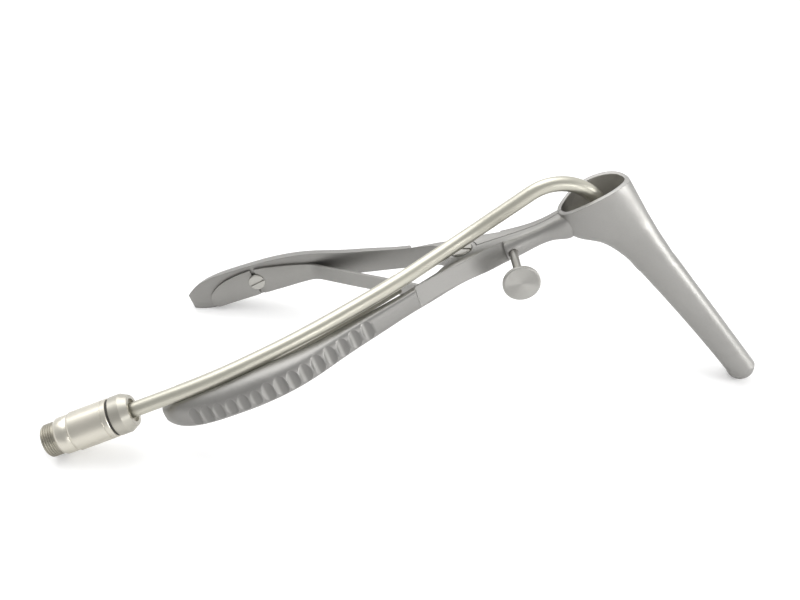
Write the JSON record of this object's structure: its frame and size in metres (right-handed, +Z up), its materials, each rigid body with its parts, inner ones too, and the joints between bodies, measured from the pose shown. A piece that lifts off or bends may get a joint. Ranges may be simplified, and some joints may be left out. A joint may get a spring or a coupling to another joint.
{
  "type": "nasal speculum",
  "caption": "Nasal speculum with angled half-round blades, spring-loaded ribbed handles and a bent light guide ending in a threaded inlet.",
  "frame": {"origin": "middle of the bounding box's bottom, on the table the instrument lies on", "axes": "+X along the instrument from the light inlet to the blade tips, +Z up from the table, +Y from the lever with the light guide to the other lever"},
  "size_m": [0.1982, 0.0696, 0.0632],
  "materials": {
    "lever_steel": "satin grey stainless steel",
    "spring_steel": "brushed spring steel",
    "screw_steel": "turned, half-bright stainless steel",
    "tube_steel": "polished stainless steel tube",
    "connector_steel": "turned and polished stainless steel",
    "seal_black": "black, matt",
    "fibre_glass": "polished ends of a packed fibre bundle"
  },
  "bodies": {
    "near_side": {"near_lever": "lever_steel", "light_guide_tube": "tube_steel", "fibre_bundle": "fibre_glass", "carrier_strip": "tube_steel", "connector_cap": "connector_steel", "connector_seal_ring": "seal_black", "connector_body": "connector_steel", "connector_threaded_end": "connector_steel", "fibre_inlet": "fibre_glass"},
    "far_side": {"far_lever": "lever_steel", "pivot_screw": "screw_steel", "leaf_spring_foot": "spring_steel", "spring_screw": "screw_steel"},
    "leaf_arm": {"leaf_spring_arm": "spring_steel"},
    "thumb_shaft": {"thumb_screw_shaft": "screw_steel"},
    "thumb_head": {"thumb_screw_head": "screw_steel"}
  },
  "joints": [
    {"name": "lever_hinge", "type": "hinge", "parent": "near_side", "child": "far_side", "pos_m": [0.01175, 0.0011, 0.03712], "axis": [-0.3743, 0.1191, 0.9196], "range_deg": [0, 16], "stiffness_Nm_per_rad": 0.8, "springref_deg": -6.88},
    {"name": "leaf_flex", "type": "hinge", "parent": "far_side", "child": "leaf_arm", "pos_m": [-0.02877, 0.02474, 0.01756], "axis": [-0.3743, 0.1191, 0.9196], "range_deg": [0, 9]},
    {"name": "thumb_slide", "type": "slide", "parent": "near_side", "child": "thumb_shaft", "axis": [-0.0449, -0.9929, 0.1103], "range_m": [0, 0.0041]},
    {"name": "thumb_turn", "type": "hinge", "parent": "thumb_shaft", "child": "thumb_head", "pos_m": [0.02265, -0.01908, 0.04482], "axis": [-0.0449, -0.9929, 0.1103], "range_deg": [0, 2465]}
  ],
  "couplings": [
    {"joint": "leaf_flex", "follows": "lever_hinge", "ratio": 0.46},
    {"joint": "thumb_turn", "follows": "thumb_slide", "rad_per_m": 10472}
  ]
}
